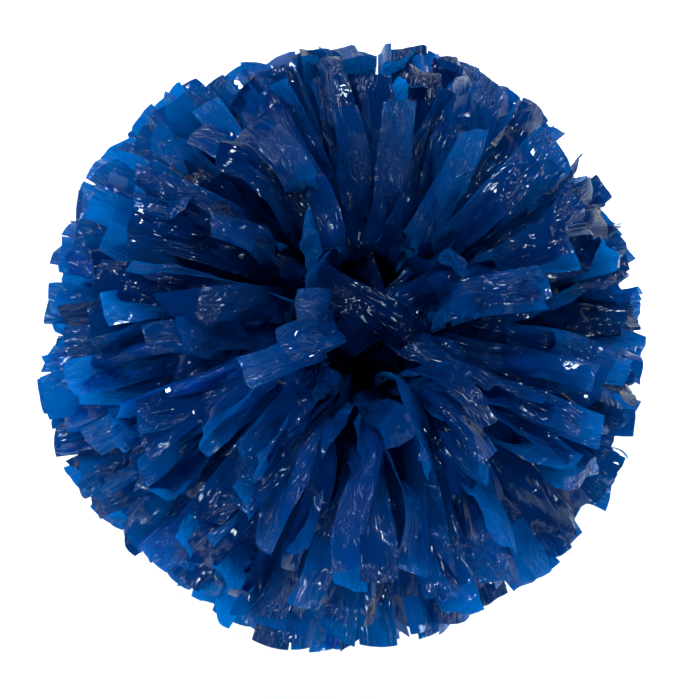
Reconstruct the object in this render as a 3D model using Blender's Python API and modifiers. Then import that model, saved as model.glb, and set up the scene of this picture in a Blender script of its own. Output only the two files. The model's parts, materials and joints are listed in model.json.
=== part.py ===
"""Hidden-baton cheer pom: two mops of fringed plastic film cinched on the ends of a hollow baton.

The handle axis is +Z, the floor is z = 0, and all sizes are in metres.
Streamers are modelled as soft tufts, one for each sector of each row of fringe.
"""

import math

import bmesh
import bpy
from mathutils import Matrix, Vector

# Driving dimensions of the whole pom
POM_RADIUS = 0.1525
CENTRE_HEIGHT = 0.135
SECTORS = 6
TOUCH_GAP = 0.0003

# Baton
TUBE_RADIUS = 0.011
TUBE_WALL = 0.002
GRIP_LENGTH = 0.085
COLLAR_THICKNESS = 0.003
COLLAR_RADIUS = 0.0205
HEADER_SPACE = 0.018
PLUG_FLANGE_RADIUS = 0.020
PLUG_FLANGE_THICKNESS = 0.003
PLUG_SPIGOT_LENGTH = 0.014
EDGE_ROUND = 0.001
TURN_STEPS = 28
MERGE_DISTANCE = 0.00005

# Rolled film header and the ties cinched round it
HEADER_RADIUS = 0.0166
HEADER_WAIST = 0.0155
HEADER_LENGTH = 0.015
HEADER_SLOPE = 0.0006
TIE_WIDTH = 0.0046
TIE_THICKNESS = 0.0013
TIE_SPACING = 0.0075
TIE_HEAD = (0.0052, 0.0064, 0.0062)
TIE_TAIL_LENGTH = 0.006
TIE_TAIL_THICKNESS = 0.0012
TIE_TAIL_WIDTH = 0.0042
INNER_TIE_TURN = math.radians(30)
OUTER_TIE_TURN = math.radians(210)

# Heights worked out from the baton
HEADER_START = GRIP_LENGTH / 2 + COLLAR_THICKNESS
HEADER_MIDDLE = HEADER_START + HEADER_SPACE / 2
TUBE_HALF_LENGTH = HEADER_START + HEADER_SPACE

# Rows of streamers, as offsets from the pom's middle in one half plane through the axis:
# root and tip as (radius, height), half thickness at root and tip, gap to the next sector
CROWN_ROW = {"root": (0.031, 0.070), "tip": (0.072, 0.158), "half": (0.004, 0.027), "gap": 0.018}
MID_ROW = {"root": (0.033, 0.060), "tip": (0.136, 0.111), "half": (0.004, 0.027), "gap": 0.013}
SKIRT_ROW = {"root": (0.033, 0.049), "tip": (POM_RADIUS, 0.047), "half": (0.004, 0.025), "gap": 0.009}
LOWER_MID_ROW = {**MID_ROW, "tip": (0.136, 0.100), "half": (0.004, 0.025)}
TUFT_SIDES = 14
TUFT_RINGS = 9
TUFT_FULLNESS = 4.0
POLE_SPREAD = 1e-6

# The hinge of each sector is tangent to the tied header
HINGE_RADIUS = 0.020
HINGE_MARK_SIZE = 0.01

# The crushed streamers under the baton, as (radius, height) above the floor
BOTTOM_OUTLINE = [
    (0.0, 0.0672),
    (0.014, 0.0672),
    (0.023, 0.062),
    (0.042, 0.047),
    (0.056, 0.030),
    (0.063, 0.015),
    (0.061, 0.004),
    (0.056, 0.0),
    (0.0, 0.0),
]

# Colours are linear RGB
FILM_BLUE = (0.002, 0.035, 0.200)
HANDLE_BLACK = (0.012, 0.013, 0.016)
TIE_BLACK = (0.012, 0.012, 0.014)
FILM_ROUGHNESS = 0.18
HANDLE_ROUGHNESS = 0.35
TIE_ROUGHNESS = 0.40


def clear_scene():
    for obj in list(bpy.data.objects):
        bpy.data.objects.remove(obj, do_unlink=True)


def make_collection(name):
    collection = bpy.data.collections.new(name)
    bpy.context.scene.collection.children.link(collection)
    return collection


def make_material(name, colour, roughness):
    material = bpy.data.materials.new(name)
    material.use_nodes = True
    shader = material.node_tree.nodes["Principled BSDF"]
    shader.inputs["Base Color"].default_value = (*colour, 1.0)
    shader.inputs["Roughness"].default_value = roughness
    shader.inputs["Metallic"].default_value = 0.0
    return material


def add_object(name, mesh, material, collection):
    obj = bpy.data.objects.new(name, mesh)
    mesh.materials.clear()
    mesh.materials.append(material)
    collection.objects.link(obj)
    return obj


def mesh_from(bm, name):
    mesh = bpy.data.meshes.new(name)
    bm.to_mesh(mesh)
    bm.free()
    return mesh


def turned(name, profile, closed, material, collection):
    """A piece turned about its own Z axis from (radius, height) points, outer side from top to bottom."""
    bm = bmesh.new()
    points = [bm.verts.new((radius, 0.0, height)) for radius, height in profile]
    for here, after in zip(points, points[1:]):
        bm.edges.new((here, after))
    if closed:
        bm.edges.new((points[-1], points[0]))
    obj = add_object(name, mesh_from(bm, name), material, collection)
    screw = obj.modifiers.new("turn", "SCREW")
    screw.axis = "Z"
    screw.steps = TURN_STEPS
    screw.render_steps = TURN_STEPS
    screw.use_merge_vertices = True
    screw.merge_threshold = MERGE_DISTANCE
    screw.use_smooth_shade = True
    return obj


def corner_cut(edge):
    """How far the middle of a rounded edge lies inside the two faces that it joins."""
    return edge * (1 - math.sqrt(0.5))


def ring_profile(inner, outer, half_length, edge):
    """A closed outline of a ring with rounded outer edges."""
    corner = corner_cut(edge)
    return [
        (inner, half_length),
        (outer - edge, half_length),
        (outer - corner, half_length - corner),
        (outer, half_length - edge),
        (outer, edge - half_length),
        (outer - corner, corner - half_length),
        (outer - edge, -half_length),
        (inner, -half_length),
    ]


def handle_tube(material, collection):
    bore = TUBE_RADIUS - TUBE_WALL
    profile = ring_profile(bore, TUBE_RADIUS, TUBE_HALF_LENGTH, EDGE_ROUND / 2)
    tube = turned("handle_tube", profile, True, material, collection)
    tube.location.z = CENTRE_HEIGHT


def collar(name, side, material, collection):
    """The stop ring that keeps the film off the hand."""
    profile = ring_profile(
        TUBE_RADIUS + TOUCH_GAP, COLLAR_RADIUS, COLLAR_THICKNESS / 2 - TOUCH_GAP, EDGE_ROUND
    )
    ring = turned(name, profile, True, material, collection)
    ring.location.z = CENTRE_HEIGHT + side * (GRIP_LENGTH + COLLAR_THICKNESS) / 2


def end_plug(name, side, material, collection):
    """A mushroom plug: its spigot sits in the tube and its flange keeps the film on."""
    spigot = TUBE_RADIUS - TUBE_WALL - TOUCH_GAP
    corner = corner_cut(EDGE_ROUND)
    top = PLUG_FLANGE_THICKNESS
    rim = PLUG_FLANGE_RADIUS
    profile = [
        (0.0, top),
        (rim - EDGE_ROUND, top),
        (rim - corner, top - corner),
        (rim, top - EDGE_ROUND),
        (rim, EDGE_ROUND),
        (rim - corner, corner),
        (rim - EDGE_ROUND, 0.0),
        (spigot, 0.0),
        (spigot, EDGE_ROUND - PLUG_SPIGOT_LENGTH),
        (spigot - EDGE_ROUND, -PLUG_SPIGOT_LENGTH),
        (0.0, -PLUG_SPIGOT_LENGTH),
    ]
    plug = turned(name, profile, False, material, collection)
    plug.location.z = CENTRE_HEIGHT + side * (TUBE_HALF_LENGTH + TOUCH_GAP)
    if side < 0:
        plug.rotation_euler.x = math.pi


def header_roll(name, side, material, collection):
    """The uncut middle band of the film, rolled on the tube and pinched where the ties sit."""
    half = HEADER_LENGTH / 2
    pinch = TIE_WIDTH / 2 + TOUCH_GAP
    profile = [(TUBE_RADIUS + TOUCH_GAP, half), (HEADER_RADIUS - EDGE_ROUND, half)]
    profile.append((HEADER_RADIUS, half - EDGE_ROUND / 2))
    for middle in (TIE_SPACING / 2, -TIE_SPACING / 2):
        profile.append((HEADER_RADIUS, middle + pinch + HEADER_SLOPE))
        profile.append((HEADER_WAIST, middle + pinch))
        profile.append((HEADER_WAIST, middle - pinch))
        profile.append((HEADER_RADIUS, middle - pinch - HEADER_SLOPE))
    profile.append((HEADER_RADIUS, EDGE_ROUND / 2 - half))
    profile.append((HEADER_RADIUS - EDGE_ROUND, -half))
    profile.append((TUBE_RADIUS + TOUCH_GAP, -half))
    roll = turned(name, profile, True, material, collection)
    roll.location.z = CENTRE_HEIGHT + side * HEADER_MIDDLE


def box_piece(name, size, centre, material, collection):
    bm = bmesh.new()
    bmesh.ops.create_cube(bm, size=1.0, matrix=Matrix.Translation(centre) @ Matrix.Diagonal((*size, 1.0)))
    return add_object(name, mesh_from(bm, name), material, collection)


def union(obj, other, name):
    modifier = obj.modifiers.new(name, "BOOLEAN")
    modifier.operation = "UNION"
    modifier.solver = "EXACT"
    modifier.object = other


def cable_tie(name, height, turn, material, collection, cutters):
    """One tie: a strap round the header, its locking head and the cut tail that stands out of it."""
    inner = HEADER_WAIST + TOUCH_GAP
    outer = inner + TIE_THICKNESS
    strap = turned(
        name, ring_profile(inner, outer, TIE_WIDTH / 2, EDGE_ROUND / 4), True, material, collection
    )
    depth, width, length = TIE_HEAD
    head_start = HEADER_RADIUS + TOUCH_GAP
    head_middle = (head_start + depth / 2, 0.0, 0.0)
    head = box_piece(name + "_head", (depth, width, length), head_middle, material, cutters)
    tail_size = (TIE_TAIL_THICKNESS, TIE_TAIL_LENGTH + width / 2, TIE_TAIL_WIDTH)
    tail_middle = (head_middle[0], -tail_size[1] / 2, 0.0)
    tail = box_piece(name + "_tail", tail_size, tail_middle, material, cutters)
    for piece in (head, tail):
        piece.hide_render = True
        piece.display_type = "WIRE"
        piece.parent = strap
    union(strap, head, "head")
    union(strap, tail, "tail")
    strap.location.z = height
    strap.rotation_euler.z = turn


def superellipse(cosine, sine):
    """A point on a rounded square outline, from a direction on the unit circle."""
    power = 2.0 / TUFT_FULLNESS
    return (
        math.copysign(abs(cosine) ** power, cosine),
        math.copysign(abs(sine) ** power, sine),
    )


def tuft_mesh(name, row, side):
    """A soft wedge of streamers for the sector that +X halves: a sphere bent into the row's fan shape.

    Its flanks keep an even gap to the neighbouring sectors, and its outer end follows a circle.
    """
    root = Vector((row["root"][0], side * row["root"][1]))
    tip = Vector((row["tip"][0], side * row["tip"][1]))
    along = tip - root
    across = Vector((-along.y, along.x)).normalized()
    bm = bmesh.new()
    bmesh.ops.create_uvsphere(bm, u_segments=TUFT_SIDES, v_segments=TUFT_RINGS, radius=1.0)
    for vert in bm.verts:
        share = (vert.co.z + 1) / 2
        girth = max(0.0, 1 - abs(vert.co.z) ** TUFT_FULLNESS) ** (1 / TUFT_FULLNESS)
        spread = math.hypot(vert.co.x, vert.co.y)
        if spread > POLE_SPREAD:
            sideways, upward = superellipse(vert.co.y / spread, vert.co.x / spread)
        else:
            sideways, upward = 0.0, 0.0
        half = row["half"][0] + share * (row["half"][1] - row["half"][0])
        middle = root + along * share + across * (upward * girth * half)
        sector_half = math.pi / SECTORS - row["gap"] / 2 / middle.x
        angle = sideways * girth * sector_half
        vert.co = (middle.x * math.cos(angle), middle.x * math.sin(angle), middle.y)
    if bm.calc_volume(signed=True) < 0:
        bmesh.ops.reverse_faces(bm, faces=bm.faces)
    mesh = mesh_from(bm, name)
    mesh.shade_smooth()
    return mesh


def streamer_row(label, row, side, material, collection, hinges):
    """One row of tufts: a copy in each sector, hung on that sector's hinge."""
    for sector in range(SECTORS):
        name = f"{label}_{sector + 1}"
        hinge = hinges[sector]
        tuft = add_object(name, tuft_mesh(name, row, side), material, collection)
        tuft.data.transform(Matrix.Translation((-HINGE_RADIUS, 0.0, -side * HEADER_MIDDLE)))
        tuft.parent = hinge


def sector_hinges(label, side, collection):
    """An empty on each sector's hinge, with its local X pointing outward."""
    hinges = []
    for sector in range(SECTORS):
        turn = 2 * math.pi * sector / SECTORS
        hinge = bpy.data.objects.new(f"{label}_hinge_{sector + 1}", None)
        hinge.location = (
            HINGE_RADIUS * math.cos(turn),
            HINGE_RADIUS * math.sin(turn),
            CENTRE_HEIGHT + side * HEADER_MIDDLE,
        )
        hinge.rotation_euler.z = turn
        hinge.empty_display_size = HINGE_MARK_SIZE
        collection.objects.link(hinge)
        hinges.append(hinge)
    return hinges


def bottom_tuft(material, collection):
    """The streamers under the baton, crushed flat by the pom that stands on them."""
    turned("bottom_tuft", BOTTOM_OUTLINE, False, material, collection)


def main():
    clear_scene()
    pom = make_collection("cheer_pom")
    cutters = make_collection("cutters")
    film = make_material("blue_film", FILM_BLUE, FILM_ROUGHNESS)
    plastic = make_material("black_plastic", HANDLE_BLACK, HANDLE_ROUGHNESS)
    nylon = make_material("black_nylon", TIE_BLACK, TIE_ROUGHNESS)

    handle_tube(plastic, pom)
    for label, side in (("upper", 1), ("lower", -1)):
        collar(f"{label}_collar", side, plastic, pom)
        end_plug(f"{label}_end_plug", side, plastic, pom)
        header_roll(f"{label}_header_roll", side, film, pom)
        header_height = CENTRE_HEIGHT + side * HEADER_MIDDLE
        for tie, offset, turn in (("inner", -1, INNER_TIE_TURN), ("outer", 1, OUTER_TIE_TURN)):
            cable_tie(
                f"{label}_{tie}_tie",
                header_height + side * offset * TIE_SPACING / 2,
                turn,
                nylon,
                pom,
                cutters,
            )
        hinges = sector_hinges(label, side, pom)
        mid_row = MID_ROW if side > 0 else LOWER_MID_ROW
        streamer_row(f"{label}_mid_tuft", mid_row, side, film, pom, hinges)
        streamer_row(f"{label}_skirt_tuft", SKIRT_ROW, side, film, pom, hinges)
        if side > 0:
            streamer_row("upper_crown_tuft", CROWN_ROW, side, film, pom, hinges)
    bottom_tuft(film, pom)


main()
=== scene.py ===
"""Looks of the cheer pom: crinkled film streamers, baton hardware, studio light and camera."""

import json
import math

import bpy
import numpy as np
from mathutils import Matrix, Vector


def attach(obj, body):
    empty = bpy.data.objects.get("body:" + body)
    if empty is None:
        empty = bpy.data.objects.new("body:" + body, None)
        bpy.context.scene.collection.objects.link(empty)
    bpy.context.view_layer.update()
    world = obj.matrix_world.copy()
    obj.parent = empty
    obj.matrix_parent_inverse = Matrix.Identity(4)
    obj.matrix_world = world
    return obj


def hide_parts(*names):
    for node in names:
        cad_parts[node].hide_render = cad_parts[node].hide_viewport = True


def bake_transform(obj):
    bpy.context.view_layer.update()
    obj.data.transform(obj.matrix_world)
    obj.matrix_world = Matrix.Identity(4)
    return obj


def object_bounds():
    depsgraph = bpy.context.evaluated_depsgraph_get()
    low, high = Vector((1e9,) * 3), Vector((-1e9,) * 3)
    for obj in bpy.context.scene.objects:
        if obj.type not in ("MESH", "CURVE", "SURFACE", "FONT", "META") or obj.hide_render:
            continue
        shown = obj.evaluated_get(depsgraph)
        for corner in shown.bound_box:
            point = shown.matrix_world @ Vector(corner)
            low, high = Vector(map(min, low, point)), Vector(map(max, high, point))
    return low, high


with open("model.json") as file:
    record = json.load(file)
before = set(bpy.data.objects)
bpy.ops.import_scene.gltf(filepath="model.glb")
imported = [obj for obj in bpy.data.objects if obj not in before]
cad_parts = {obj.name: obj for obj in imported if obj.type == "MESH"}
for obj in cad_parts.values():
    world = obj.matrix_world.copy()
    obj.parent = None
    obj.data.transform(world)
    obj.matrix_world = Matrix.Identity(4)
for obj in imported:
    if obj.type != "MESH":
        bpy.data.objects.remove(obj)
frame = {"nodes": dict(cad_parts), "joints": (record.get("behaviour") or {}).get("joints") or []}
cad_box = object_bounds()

DEG = math.pi / 180

# Film streamers, in metres, with this many points along and across each
STREAMER_WIDTH = 0.019
STREAMER_LENGTH = 0.146
ALONG = 64
ACROSS = 11
SECTORS = 6
SECTOR = 2 * math.pi / SECTORS
SECTOR_OVERLAP = 1.04
ROOT_RADIUS = 0.0185
ROOT_SPREAD = 0.0006
ROOT_STACK = 0.004
END_ROOT = (0.0195, 0.0085)
CREASE_ANGLE = 16 * DEG

# The ties, where the streamers of each half start
HINGE = {joint["child"]: joint for joint in frame["joints"]}
UPPER_HEIGHT = HINGE["upper_streamers_1"]["pos_m"][2]
LOWER_HEIGHT = HINGE["lower_streamers_1"]["pos_m"][2]

# The pom's rounded outline, which leans a little off the baton. Where a rule differs for the two halves,
# 1 is the upper half and -1 the lower one, which isn't lifted off the floor.
FLOOR_CLEARANCE = 0.0006
STRIP_CLEARANCE = 0.001
BALL_HEIGHT = 0.148
BALL_AXIS = np.array([-0.1993, -0.1656, 0.9659])
BALL_DEPTH = {1: 0.160, -1: 0.170}
BALL_FULLNESS = 2.5
RAGGEDNESS = 0.0050
LIFT_SHARE = {1: 1.0, -1: 0.0}

# Shallow lobes of the outline: how many round it, their height as a share, and where they start
OUTLINE_LOBES = ((3, 0.010, 148 * DEG), (5, 0.0105, -95 * DEG), (6, 0.011, 119 * DEG))

# Bends, as shares of a streamer's length and angles in radians
SPLINE_GAIN = 1.6
LIFTS_FROM = -0.03
WAVES_GROW = (0.05, 0.5)
SWAY_GROWS = (0.05, 0.6)
TWIST_GROWS = (0.0, 0.7)
PULL_GROWS = (0.0, 0.5)
KINK_SPAN = (0.25, 0.95)
KINK_HALF_LENGTH = 0.014
LEANING_BEND = (0.16, 0.3)
CURL_TURN = (1.2, 3.2)
CURL_START = (0.5, 0.8)
TWIST_WANDER = 0.22
TWIST_KINK = 0.4

# The section across the film
PLEATS = 2.5
PLEAT_SLOPE = 1.3
PLEATED_SHARE = 0.13
FOLD_PLACE = 0.6
FOLD_SOFTNESS = (0.05, 0.24)
STEEPEST_FOLD = 1.35
STEEPEST_SLOPE = 1.45
OPENS_OVER = (0.05, 0.35)
CREASES = ((7, 2, 0.0018), (15, 3, 0.0009))
CREASE_SKEW = 0.7
LATTICE_MARGIN = 6
LATTICE_START = (2.5, 1.5)
END_SPAN = (0.85, 1.0)
END_SLANT = 0.0022
END_ROUNDING = 0.0011

# Film coordinates count tenths of a metre
FILM_SCALE = 10
FILM_OFFSET = 5

# Streamers that fold over the hollow at the top, in degrees
INWARD_RISE = (95, 108)
INWARD_FINISH = (160, 205)

# Steps of an even scatter: one over the plastic number, and the square of that
SCATTER = (0.7548776662, 0.5698402910)
TUFT_SEED = 205
BOTTOM_SEED = 77
BOTTOM_COUNT = 48

# The lights all face the pom's heart
HEART = Vector((0, 0, 0.15))
LIGHT_DISTANCE = 1.5

# The picture: how many pom widths it spans, and how far its middle lies off the CAD's middle
PICTURE_WIDTH = 1.15748
PICTURE_SHIFT = Vector((0.0042, -0.0018, -0.00393))
CAMERA_DISTANCE = 2.1
CAMERA_TILT = 15 * DEG
CAMERA_LEAN = (-0.77, -0.64)
SENSOR_WIDTH = 36


# ---------------------------------------------------------------- shapes of the streamers

def wander(rng, count, knots, size):
    """Smooth random curves along a streamer: one row for each streamer, about size in spread."""
    values = rng.normal(0.0, size, (count, knots + 3))
    place = np.linspace(0, knots, ALONG, endpoint=False)
    cell = place.astype(int)
    t = place - cell
    a, b, c, d = (values[:, cell + k] for k in range(4))
    return (
        a * (1 - t) ** 3 / 6
        + b * (3 * t ** 3 - 6 * t ** 2 + 4) / 6
        + c * (-3 * t ** 3 + 3 * t ** 2 + 3 * t + 1) / 6
        + d * t ** 3 / 6
    ) * SPLINE_GAIN


def smooth_step(low, high, value):
    """0 below low and 1 above high, with an even ease between them."""
    t = np.clip((value - low) / (high - low), 0, 1)
    return t * t * (3 - 2 * t)


def kinks(rng, count, most, size, share=0.5):
    """Sharp bends: a few steps in an angle at random places along each streamer."""
    s = np.linspace(0, 1, ALONG)
    out = np.zeros((count, ALONG))
    for _ in range(most):
        place = rng.uniform(*KINK_SPAN, (count, 1))
        jump = rng.normal(0, size, (count, 1)) * (rng.random((count, 1)) < share)
        out += jump * smooth_step(-KINK_HALF_LENGTH, KINK_HALF_LENGTH, s[None] - place)
    return out


def crumple(rng, count, cells_along, cells_across, size):
    """Creased facets: straight-sided interpolation of random heights on a skewed lattice."""
    lattice = rng.normal(0, size, (count, cells_along + LATTICE_MARGIN, cells_across + LATTICE_MARGIN))
    v = np.linspace(0, cells_along, ALONG)[None, :, None]
    u = np.linspace(0, cells_across, ACROSS)[None, None, :]
    skew = rng.uniform(-CREASE_SKEW, CREASE_SKEW, (count, 1, 1))
    x = v + skew * u + LATTICE_START[0]
    y = u - skew * 0.3 * np.sin(v) + LATTICE_START[1] + rng.uniform(0, 1, (count, 1, 1))
    i, j = np.floor(x).astype(int), np.floor(y).astype(int)
    i = np.clip(i, 0, cells_along + LATTICE_MARGIN - 2)
    j = np.clip(j, 0, cells_across + LATTICE_MARGIN - 2)
    fx, fy = np.clip(x - i, 0, 1), np.clip(y - j, 0, 1)
    n = np.arange(count)[:, None, None]
    a, b = lattice[n, i, j], lattice[n, i + 1, j]
    c, d = lattice[n, i, j + 1], lattice[n, i + 1, j + 1]
    lower = a + fx * (b - a) + fy * (d - b)
    upper = a + fy * (c - a) + fx * (d - c)
    return np.where(fx > fy, lower, upper)


def walk(first, tangent, lowest):
    """The middle line of each streamer, which slides outward where it would go lower than lowest."""
    step = STREAMER_LENGTH / (ALONG - 1)
    middle = np.empty_like(tangent)
    middle[:, 0] = first
    tangent = tangent.copy()
    for k in range(ALONG - 1):
        here, way = middle[:, k], tangent[:, k]
        down = np.maximum(way[:, 2], np.clip((lowest - here[:, 2]) / step, -1, 1))
        flat = np.hypot(way[:, 0], way[:, 1])
        stretch = np.sqrt(np.maximum(1 - down ** 2, 0)) / np.maximum(flat, 1e-6)
        way = np.stack([way[:, 0] * stretch, way[:, 1] * stretch, down], axis=-1)
        tangent[:, k] = way
        middle[:, k + 1] = here + way * step
    tangent[:, -1] = tangent[:, -2]
    return middle, tangent


def middle_lines(rng, count, azimuth, start, rise, finish, spec):
    """The middle line of each streamer and its direction, before the film is given its width.

    azimuth, start, rise and finish hold one value for each streamer: its heading round the axis, its
    root (radius, height), and its elevation just past the tie and at the tip.
    """
    s = np.linspace(0, 1, ALONG)[None]
    column = (count, 1)
    low, high = spec["bend_at"]
    bend_at = low + (high - low) * rng.random(column) ** spec["early"]
    bend_half = rng.uniform(*spec["bend_half"], column)
    leaning = rise[:, None] > math.pi / 2
    bend_at = np.where(leaning, LEANING_BEND[0] + LEANING_BEND[1] * (bend_at - low), bend_at)
    bend = smooth_step(bend_at - bend_half, bend_at + bend_half, s)
    elevation = rise[:, None] + (finish - rise)[:, None] * bend
    elevation = elevation * smooth_step(LIFTS_FROM, spec["lift"], s)
    elevation = elevation + wander(rng, count, 4, spec["wave"]) * smooth_step(*WAVES_GROW, s)
    elevation = elevation + kinks(rng, count, 3, spec["kink"])
    curled = (rng.random(column) < spec["curled"]) * rng.choice([-1.0, 1.0], column)
    curl = rng.normal(0, spec["curl"], column) + curled * rng.uniform(*CURL_TURN, column)
    elevation = elevation + curl * smooth_step(rng.uniform(*CURL_START, column), 1.0, s)
    heading = azimuth[:, None] + wander(rng, count, 3, spec["sway"]) * smooth_step(*SWAY_GROWS, s)
    heading = heading + kinks(rng, count, 2, spec["kink"] * 0.5)
    tangent = np.stack(
        [
            np.cos(elevation) * np.cos(heading),
            np.cos(elevation) * np.sin(heading),
            np.sin(elevation) * spec["side"],
        ],
        axis=-1,
    )
    first = np.stack([start[:, 0] * np.cos(azimuth), start[:, 0] * np.sin(azimuth), start[:, 1]], axis=-1)
    return walk(first, tangent, spec["bottom"] + STRIP_CLEARANCE)


def cross_sections(rng, count, spec):
    """Each streamer's section across its width: the film's place across and its height over it.

    The film is pleated where it is tied, and opens out to one soft fold and a shallow gutter.
    """
    s = np.linspace(0, 1, ALONG)[None]
    u = np.linspace(-1, 1, ACROSS)
    pleat = np.where(np.floor((u + 1) * PLEATS + rng.uniform(0, 1, (count, 1))) % 2 < 1, 1.0, -1.0)
    tied = (PLEAT_SLOPE * np.exp(-s / PLEATED_SHARE))[..., None] * pleat[:, None]
    tied = tied * rng.uniform(0.7, 1.0, (count, 1, 1))
    fold_place = rng.uniform(-FOLD_PLACE, FOLD_PLACE, (count, 1, 1))
    fold_place = fold_place + 0.25 * wander(rng, count, 2, 1.0)[..., None]
    softness = rng.uniform(*FOLD_SOFTNESS, (count, 1, 1))
    fold_sign = rng.choice([-1.0, 1.0], (count, 1, 1))
    depth = np.abs(rng.normal(0, spec["fold"], (count, 1))) * (0.7 + 0.5 * wander(rng, count, 3, 1.0))
    fold = np.clip(depth, 0, STEEPEST_FOLD)[..., None] * np.tanh((u - fold_place) / softness) * fold_sign
    gutter = wander(rng, count, 3, spec["gutter"])[..., None] * u
    slope = np.clip(tied + fold + gutter, -STEEPEST_SLOPE, STEEPEST_SLOPE)
    step = STREAMER_WIDTH / (ACROSS - 1)
    middle = (slope[..., 1:] + slope[..., :-1]) / 2
    zero = np.zeros((count, ALONG, 1))
    across = np.concatenate([zero, np.cumsum(np.cos(middle), axis=-1) * step], axis=-1)
    height = np.concatenate([zero, np.cumsum(np.sin(middle), axis=-1) * step], axis=-1)
    across -= across.mean(-1, keepdims=True)
    height -= height.mean(-1, keepdims=True)
    open_share = smooth_step(*OPENS_OVER, s)[..., None]
    for cells_along, cells_across, size in CREASES:
        height = height + crumple(rng, count, cells_along, cells_across, size) * open_share
    return across, height


def streamer_points(rng, count, azimuth, start, rise, finish, spec):
    """Points of count streamers, as an array (count, ALONG, ACROSS, 3)."""
    s = np.linspace(0, 1, ALONG)[None]
    middle, tangent = middle_lines(rng, count, azimuth, start, rise, finish, spec)
    heading = azimuth[:, None] + 0 * s
    side = np.stack([-np.sin(heading), np.cos(heading), np.zeros_like(heading)], axis=-1)
    side -= (side * tangent).sum(-1, keepdims=True) * tangent
    side /= np.linalg.norm(side, axis=-1, keepdims=True)
    out = np.cross(tangent, side)
    twist = rng.normal(0, spec["twist"], (count, 1)) * smooth_step(*TWIST_GROWS, s)
    twist = twist + wander(rng, count, 3, TWIST_WANDER) + kinks(rng, count, 2, TWIST_KINK, share=0.4)
    width = np.cos(twist)[..., None] * side + np.sin(twist)[..., None] * out
    normal = np.cross(tangent, width)
    across, height = cross_sections(rng, count, spec)

    # Each free end is cut a little off square and a little round
    u = np.linspace(-1, 1, ACROSS)
    cut = rng.normal(0, END_SLANT, (count, 1, 1)) * u - END_ROUNDING * u ** 2
    slant = cut * smooth_step(*END_SPAN, s)[..., None]
    return (
        middle[:, :, None]
        + across[..., None] * width[:, :, None]
        + height[..., None] * normal[:, :, None]
        + slant[..., None] * tangent[:, :, None]
    )


def contain(points, spec, rng):
    """Eases streamers back inside the pom's rounded outline, and up off the floor."""
    middle = np.array([0.0, 0.0, BALL_HEIGHT])
    away = points - middle
    along = away @ BALL_AXIS
    across = np.linalg.norm(away - along[..., None] * BALL_AXIS, axis=-1)
    limit = (spec["reach"] - np.abs(rng.normal(0, RAGGEDNESS, len(points))))[:, None, None]
    heading = np.arctan2(away[..., 1], away[..., 0])
    limit = limit * (1 + sum(size * np.cos(lobes * heading - turn) for lobes, size, turn in OUTLINE_LOBES))
    depth = BALL_DEPTH[spec["side"]]
    fill = (across / limit) ** BALL_FULLNESS + (np.abs(along) / depth) ** BALL_FULLNESS
    far = (fill ** (1 / BALL_FULLNESS)).max(axis=(1, 2))
    s = np.linspace(0, 1, ALONG)[None, :, None, None]
    pull = (1 - np.minimum(1.0, 1 / far))[:, None, None, None] * smooth_step(*PULL_GROWS, s)
    points = middle + away * (1 - pull * np.array([1.0, 1.0, LIFT_SHARE[spec["side"]]]))
    root = spec["root_height"]
    for way, end in ((1, spec["top"]), (-1, spec["bottom"])):
        past = way * (points[..., 2] - root)
        room = way * (end - root)
        share = np.minimum(1.0, room / np.maximum(past.max(axis=(1, 2)), 1e-6))[:, None, None]
        points[..., 2] = np.where(past > 0, root + way * past * share, points[..., 2])
    points[..., 2] = np.maximum(points[..., 2], FLOOR_CLEARANCE)
    return points


def streamer_mesh(name, points, tones_and_shade, rng):
    """One mesh of all the streamers of a tuft, with film coordinates and a tone for each streamer."""
    count = points.shape[0]
    verts = points.reshape(-1, 3)
    grid = np.arange(count * ALONG * ACROSS).reshape(count, ALONG, ACROSS)
    quads = np.stack(
        [grid[:, :-1, :-1], grid[:, 1:, :-1], grid[:, 1:, 1:], grid[:, :-1, 1:]], axis=-1
    ).reshape(-1, 4)
    mesh = bpy.data.meshes.new(name)
    mesh.vertices.add(len(verts))
    mesh.vertices.foreach_set("co", verts.astype(np.float32).ravel())
    mesh.loops.add(quads.size)
    mesh.loops.foreach_set("vertex_index", quads.ravel())
    mesh.polygons.add(len(quads))
    mesh.polygons.foreach_set("loop_start", np.arange(len(quads)) * 4)
    mesh.update(calc_edges=True)
    mesh.polygons.foreach_set("use_smooth", np.ones(len(quads), dtype=bool))
    mesh.set_sharp_from_angle(angle=CREASE_ANGLE)
    shift = rng.uniform(0, FILM_OFFSET, (count, 1, 1, 2))
    v, u = np.meshgrid(
        np.linspace(0, STREAMER_LENGTH, ALONG), np.linspace(0, STREAMER_WIDTH, ACROSS), indexing="ij"
    )
    film = np.stack([u, v], axis=-1)[None] * FILM_SCALE + shift
    layer = mesh.uv_layers.new(name="film")
    layer.data.foreach_set("uv", film.reshape(-1, 2)[quads.ravel()].astype(np.float32).ravel())
    # A random tone for each streamer from the row's range; a range held darker is painted shade
    tone = np.repeat(rng.uniform(*tones_and_shade, count), ALONG * ACROSS)
    mesh.attributes.new("tone", "FLOAT", "POINT").data.foreach_set("value", tone.astype(np.float32))
    return mesh
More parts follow.
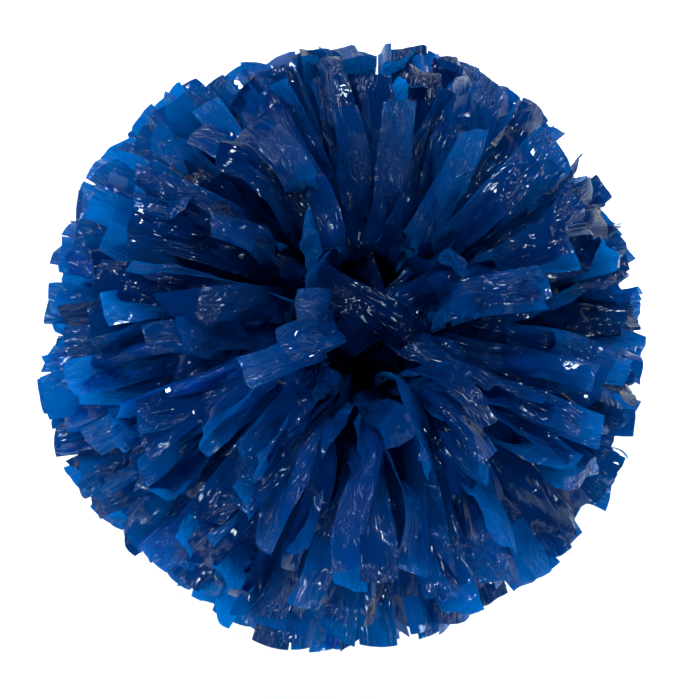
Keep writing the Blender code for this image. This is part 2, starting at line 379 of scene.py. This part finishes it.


# ---------------------------------------------------------------- rows of streamers

# What a row's values say, from the tie outward:
#   rise, finish       elevation just past the tie and at the tip, in degrees away from the pom's middle
#   bend_at, bend_half where the one turns into the other, and over how much of the length, as shares
#   root               radius of the root, and its height past the middle of the ties
#   reach, top, bottom the outline's radius and the heights that hold the row
#   wave, kink, curl, sway, twist, fold, gutter    spreads of the bends, in radians
#   mix, inward, early, low_share, curled, lift, tones_and_shade    how a row's streamers differ from each other, and painted shade where a row's tones are held darker
COMMON = {
    "wave": 0.12, "kink": 0.30, "curl": 0.30, "curled": 0.05, "sway": 0.10, "twist": 0.30, "fold": 0.42,
    "gutter": 0.20, "lift": 0.10, "mix": 0.18, "inward": 0.0, "early": 1.0, "low_share": 1.0,
    "tones_and_shade": (0.0, 1.0),
}
ROWS = {
    "upper_crown": {
        **COMMON, "side": 1, "count": 24, "rise": (38, 84), "finish": (-48, 26), "bend_at": (0.26, 0.90),
        "bend_half": (0.10, 0.34), "root": END_ROOT, "reach": 0.1550, "top": 0.300, "bottom": 0.150,
        "mix": 0.16, "curled": 0.06, "inward": 0.05, "early": 1.8, "wave": 0.07, "kink": 0.28,
        # Tones held to the darker half: painted shade of the shaded hollow at the top of the pom
        "low_share": 1.5, "tones_and_shade": (0.0, 0.50),
    },
    "upper_mid": {
        **COMMON, "side": 1, "count": 28, "rise": (14, 50), "finish": (-48, -8), "bend_at": (0.25, 0.6),
        "bend_half": (0.25, 0.50), "root": (ROOT_RADIUS, 0.005), "reach": 0.1550,
        "top": 0.285, "bottom": 0.135, "wave": 0.06, "kink": 0.24, "tones_and_shade": (0.1, 0.9),
    },
    "upper_skirt": {
        **COMMON, "side": 1, "count": 24, "rise": (-32, 20), "finish": (-46, 0), "bend_at": (0.3, 0.8),
        "bend_half": (0.15, 0.5), "root": (ROOT_RADIUS, -0.003), "reach": 0.1550,
        "top": 0.250, "bottom": 0.110, "wave": 0.06, "kink": 0.24, "tones_and_shade": (0.1, 0.9),
    },
    "lower_skirt": {
        **COMMON, "side": -1, "count": 28, "rise": (-34, 22), "finish": (-40, 12), "bend_at": (0.3, 0.8),
        "bend_half": (0.15, 0.5), "root": (ROOT_RADIUS, -0.003), "reach": 0.1530,
        "top": 0.140, "bottom": 0.004,
    },
    "lower_mid": {
        **COMMON, "side": -1, "count": 28, "rise": (20, 50), "finish": (-16, 26), "bend_at": (0.3, 0.8),
        "bend_half": (0.15, 0.5), "root": (ROOT_RADIUS, 0.005), "reach": 0.1541,
        "top": 0.110, "bottom": 0.003,
    },
}


def spread(count, first):
    """Evenly scattered pairs in the unit square, from pair number first, so that streamers don't bunch."""
    n = np.arange(count) + first
    return np.stack([(n * step) % 1 for step in SCATTER], axis=-1)


def tuft_points(row, sector, rng):
    """Points of the streamers of one row in one sector."""
    spec = dict(ROWS[row])
    count = spec["count"]
    side = spec["side"]
    middle = UPPER_HEIGHT if side > 0 else LOWER_HEIGHT
    slots = spread(count, 37 * sector + 11)
    azimuth = sector * SECTOR + (slots[:, 0] - 0.5) * SECTOR * SECTOR_OVERLAP
    level = slots[:, 1] ** spec["low_share"]
    low, high = spec["rise"]
    rise = (low + (high - low) * level) * DEG
    low, high = spec["finish"]
    finish = (low + (high - low) * np.clip(level + rng.normal(0, spec["mix"], count), -0.1, 1.1)) * DEG
    inward = rng.random(count) < spec["inward"]
    rise = np.where(inward, rng.uniform(*INWARD_RISE, count) * DEG, rise)
    finish = np.where(inward, rng.uniform(*INWARD_FINISH, count) * DEG, finish)
    radius = spec["root"][0] + rng.normal(0, ROOT_SPREAD, count)
    height = middle + side * (spec["root"][1] + (level - 0.5) * ROOT_STACK)
    spec["root_height"] = middle
    points = streamer_points(rng, count, azimuth, np.stack([radius, height], -1), rise, finish, spec)
    return contain(points, spec, rng)


def add_piece(name, mesh, material):
    """A piece with this mesh and material, put in the scene."""
    piece = bpy.data.objects.new(name, mesh)
    mesh.materials.append(material)
    bpy.context.scene.collection.objects.link(piece)
    return piece


def hang_tufts(material):
    """The streamers of every sector, put in place of the CAD tufts, which are hidden."""
    for row_index, (row, spec) in enumerate(ROWS.items()):
        for sector in range(SECTORS):
            rng = np.random.default_rng(1000 * row_index + sector + TUFT_SEED)
            name = f"{row}_streamers_{sector + 1}"
            points = tuft_points(row, sector, rng)
            piece = add_piece(name, streamer_mesh(name, points, spec["tones_and_shade"], rng), material)
            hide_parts(f"{row}_tuft_{sector + 1}")
            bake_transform(piece)


def bottom_streamers(material):
    """Streamers crushed between the baton and the floor: they run down from the lower tie and splay out."""
    rng = np.random.default_rng(BOTTOM_SEED)
    count = BOTTOM_COUNT
    slots = spread(count, 5)
    azimuth = slots[:, 0] * 2 * math.pi
    spec = {
        **COMMON, "side": -1, "bend_at": (0.40, 0.56), "bend_half": (0.12, 0.25), "reach": 0.156,
        "top": 0.1, "bottom": FLOOR_CLEARANCE, "root_height": LOWER_HEIGHT, "wave": 0.10, "kink": 0.15,
    }
    rise = (50 + 32 * slots[:, 1]) * DEG
    finish = np.full(count, -8.0) * DEG
    start = np.tile((END_ROOT[0], LOWER_HEIGHT - END_ROOT[1]), (count, 1))
    points = contain(streamer_points(rng, count, azimuth, start, rise, finish, spec), spec, rng)
    name = "bottom_streamers"
    piece = add_piece(name, streamer_mesh(name, points, spec["tones_and_shade"], rng), material)
    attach(piece, "handle")
    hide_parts("bottom_tuft")


# ---------------------------------------------------------------- materials

def new_material(name):
    """A material with no nodes yet, and its nodes and links."""
    material = bpy.data.materials.new(name)
    material.use_nodes = True
    material.node_tree.nodes.clear()
    return material, material.node_tree.nodes, material.node_tree.links


def film_material():
    """Thin glossy polyethylene film: blue body colour, some light through it, and crumple creases."""
    material, nodes, links = new_material("blue_film")

    def node(kind, operation=None, **values):
        made = nodes.new(f"ShaderNode{kind}")
        if operation:
            made.operation = operation
        for name, value in values.items():
            made.inputs[name.replace("_", " ")].default_value = value
        return made

    def maths(operation, first, second):
        made = node("Math", operation)
        for socket, value in zip(made.inputs, (first, second)):
            if isinstance(value, (int, float)):
                socket.default_value = value
            else:
                links.new(value, socket)
        return made.outputs["Value"]

    film = node("UVMap")
    film.uv_map = "film"
    tone = node("Attribute")
    tone.attribute_name = "tone"

    def toned(dark, light):
        """A colour for each streamer, from dark to light by its tone."""
        ramp = node("ValToRGB")
        ramp.color_ramp.elements[0].color = dark
        ramp.color_ramp.elements[1].color = light
        links.new(tone.outputs["Fac"], ramp.inputs["Fac"])
        return ramp.outputs["Color"]

    def ridges(along, across):
        """Heights of creases this many times along and across in a tenth of a metre of film."""
        place = node("Mapping", Scale=(across, along, 1.0))
        links.new(film.outputs["UV"], place.inputs["Vector"])
        noise = node("TexNoise", Scale=1.0, Detail=1.0, Roughness=0.55, Distortion=0.9)
        links.new(place.outputs["Vector"], noise.inputs["Vector"])
        fold = maths("ABSOLUTE", maths("SUBTRACT", noise.outputs["Fac"], 0.5), 0)
        return maths("POWER", fold, 0.7)

    def patches(scale, low, high):
        """A soft mask, 0 to 1, of the places where the film is worked."""
        noise = node("TexNoise", Scale=scale, Detail=1.0)
        links.new(film.outputs["UV"], noise.inputs["Vector"])
        mask = node("MapRange", From_Min=low, From_Max=high)
        mask.interpolation_type = "SMOOTHSTEP"
        links.new(noise.outputs["Fac"], mask.inputs["Value"])
        return mask.outputs["Result"]

    # Three layers of creases: pulled along the film, crushed in patches and finely crinkled
    pulled = maths("ADD", ridges(1.8, 13.0), maths("MULTIPLY", ridges(4.0, 36.0), 0.16))
    pulled = maths("MULTIPLY", pulled, patches(1.4, 0.38, 0.62))
    crushed = maths("MULTIPLY", ridges(8.0, 20.0), patches(2.6, 0.46, 0.63))
    crinkled = maths("MULTIPLY", ridges(13.0, 36.0), patches(3.1, 0.52, 0.66))
    height = maths("ADD", maths("MULTIPLY", pulled, 0.85), maths("MULTIPLY", crushed, 1.15))
    height = maths("ADD", height, maths("MULTIPLY", crinkled, 0.7))
    bump = node("Bump", Strength=0.9, Distance=0.0030)
    links.new(height, bump.inputs["Height"])

    # Glossy blue film, with light coming through it
    gloss = node("BsdfPrincipled", IOR=1.51, Specular_IOR_Level=0.27, Specular_Tint=(0.60, 0.82, 1.0, 1))
    links.new(toned((0.0001, 0.0056, 0.038, 1), (0.0002, 0.034, 0.186, 1)), gloss.inputs["Base Color"])
    cloud = node("TexNoise", Scale=5.0, Detail=2.0)
    links.new(film.outputs["UV"], cloud.inputs["Vector"])
    rough = node("MapRange", To_Min=0.015, To_Max=0.06)
    links.new(cloud.outputs["Fac"], rough.inputs["Value"])
    links.new(rough.outputs["Result"], gloss.inputs["Roughness"])
    links.new(bump.outputs["Normal"], gloss.inputs["Normal"])

    through = node("BsdfTranslucent")
    links.new(toned((0.0001, 0.029, 0.155, 1), (0.0003, 0.222, 0.770, 1)), through.inputs["Color"])
    links.new(bump.outputs["Normal"], through.inputs["Normal"])
    mix = node("MixShader", Fac=0.46)
    links.new(gloss.outputs["BSDF"], mix.inputs[1])
    links.new(through.outputs["BSDF"], mix.inputs[2])
    output = node("OutputMaterial")
    links.new(mix.outputs["Shader"], output.inputs["Surface"])
    return material


def moulded_plastic(name, colour, roughness):
    """Satin moulded plastic with a faint grain and uneven gloss."""
    material, nodes, links = new_material(name)
    output = nodes.new("ShaderNodeOutputMaterial")
    shader = nodes.new("ShaderNodeBsdfPrincipled")
    place = nodes.new("ShaderNodeTexCoord")
    noise = nodes.new("ShaderNodeTexNoise")
    noise.inputs["Scale"].default_value = 900.0
    cloud = nodes.new("ShaderNodeTexNoise")
    cloud.inputs["Scale"].default_value = 60.0
    links.new(place.outputs["Object"], noise.inputs["Vector"])
    links.new(place.outputs["Object"], cloud.inputs["Vector"])
    tint = nodes.new("ShaderNodeValToRGB")
    tint.color_ramp.elements[0].color = (*[c * 0.75 for c in colour], 1)
    tint.color_ramp.elements[1].color = (*[c * 1.25 for c in colour], 1)
    links.new(cloud.outputs["Fac"], tint.inputs["Fac"])
    links.new(tint.outputs["Color"], shader.inputs["Base Color"])
    rough = nodes.new("ShaderNodeMapRange")
    rough.inputs["To Min"].default_value = roughness - 0.08
    rough.inputs["To Max"].default_value = roughness + 0.10
    links.new(cloud.outputs["Fac"], rough.inputs["Value"])
    links.new(rough.outputs["Result"], shader.inputs["Roughness"])
    bump = nodes.new("ShaderNodeBump")
    bump.inputs["Strength"].default_value = 0.25
    bump.inputs["Distance"].default_value = 0.0002
    links.new(noise.outputs["Fac"], bump.inputs["Height"])
    links.new(bump.outputs["Normal"], shader.inputs["Normal"])
    links.new(shader.outputs["BSDF"], output.inputs["Surface"])
    return material


def dress_hardware(film):
    """Materials of the CAD pieces that show: the baton, its ends and ties, and the rolled film."""
    handle = moulded_plastic("handle_plastic", (0.012, 0.013, 0.016), 0.38)
    nylon = moulded_plastic("tie_nylon", (0.010, 0.010, 0.011), 0.45)
    for name, node in frame["nodes"].items():
        if name.endswith("_tie"):
            material = nylon
        elif "_tuft" in name or name.endswith("_roll"):
            material = film
        else:
            material = handle
        node.data.materials.clear()
        node.data.materials.append(material)


# ---------------------------------------------------------------- studio

def studio():
    """A pale floor that the lights bleach, pale walls, soft boxes all round and one panel behind."""
    size = 12.0
    corners = [(-size, -size, 0), (size, -size, 0), (size, size, 0), (-size, size, 0)]
    mesh = bpy.data.meshes.new("floor")
    mesh.from_pydata(corners, [], [(0, 1, 2, 3)])
    floor = bpy.data.objects.new("floor", mesh)
    bpy.context.scene.collection.objects.link(floor)
    material = bpy.data.materials.new("floor")
    material.use_nodes = True
    shader = material.node_tree.nodes["Principled BSDF"]
    shader.inputs["Base Color"].default_value = (0.80, 0.92, 0.92, 1)
    shader.inputs["Roughness"].default_value = 0.9
    shader.inputs["Specular IOR Level"].default_value = 0.1
    mesh.materials.append(material)

    # Pale walls round the studio, and a dark ceiling over it
    world = bpy.data.worlds.new("studio")
    bpy.context.scene.world = world
    world.use_nodes = True
    nodes, links = world.node_tree.nodes, world.node_tree.links
    direction = nodes.new("ShaderNodeTexCoord")
    split = nodes.new("ShaderNodeSeparateXYZ")
    walls = nodes.new("ShaderNodeValToRGB")
    ramp = walls.color_ramp
    ramp.elements[0].position, ramp.elements[0].color = 0.08, (1.0, 1.0, 1.0, 1)
    ramp.elements[1].position, ramp.elements[1].color = 0.75, (0.001, 0.004, 0.008, 1)
    for height, level in ((0.18, 0.10), (0.45, 0.015)):
        ramp.elements.new(height).color = (level * 0.4, level * 0.85, level * 1.2, 1)
    nodes["Background"].inputs["Strength"].default_value = 1.5
    links.new(direction.outputs["Generated"], split.inputs["Vector"])
    links.new(split.outputs["Z"], walls.inputs["Fac"])
    links.new(walls.outputs["Color"], nodes["Background"].inputs["Color"])

    def point_at_pom(obj, place):
        obj.location = place
        obj.rotation_euler = (HEART - Vector(place)).to_track_quat("-Z", "Y").to_euler()
        bpy.context.scene.collection.objects.link(obj)

    # Soft boxes round the pom: heading and height in degrees, strength and apparent size
    for heading, rise, strength, angle in (
        (135, 47, 4.0, 9), (58, 45, 2.5, 8), (200, 42, 1.8, 7), (318, 45, 2.4, 8), (265, 42, 1.8, 7),
    ):
        light = bpy.data.lights.new(f"box_{heading}", "SUN")
        light.energy, light.angle, light.color = strength, angle * DEG, (1.0, 0.99, 0.98)
        way = Vector((math.cos(heading * DEG), math.sin(heading * DEG), math.tan(rise * DEG)))
        point_at_pom(bpy.data.objects.new(light.name, light), way * LIGHT_DISTANCE)

    panel = bpy.data.lights.new("back_panel", "AREA")
    panel.shape, panel.size, panel.size_y = "RECTANGLE", 1.8, 0.45
    panel.energy, panel.color = 12, (0.96, 1.0, 0.98)
    point_at_pom(bpy.data.objects.new("back_panel", panel), (0, 1.9, 1.9))


def aim_camera():
    """A camera that looks down on the pom, leaning a little off the baton's line."""
    low, high = (Vector(corner) for corner in cad_box)
    middle = (low + high) / 2 + PICTURE_SHIFT
    aside = [lean * math.sin(CAMERA_TILT) for lean in CAMERA_LEAN]
    back = Vector((*aside, math.cos(CAMERA_TILT))).normalized()
    camera = bpy.data.objects.new("camera", bpy.data.cameras.new("camera"))
    camera.data.sensor_width = SENSOR_WIDTH
    camera.data.lens = SENSOR_WIDTH * CAMERA_DISTANCE / ((high.x - low.x) * PICTURE_WIDTH)
    view = -back
    right = view.cross(Vector((0, 1, 0))).normalized()
    up = right.cross(view)
    turn = Matrix((right, up, -view)).transposed().to_4x4()
    camera.matrix_world = Matrix.Translation(middle + back * CAMERA_DISTANCE) @ turn
    bpy.context.scene.collection.objects.link(camera)
    bpy.context.scene.camera = camera


def main():
    film = film_material()
    aim_camera()
    studio()
    dress_hardware(film)
    hang_tufts(film)
    bottom_streamers(film)
    bpy.context.scene.view_settings.view_transform = "Standard"


main()
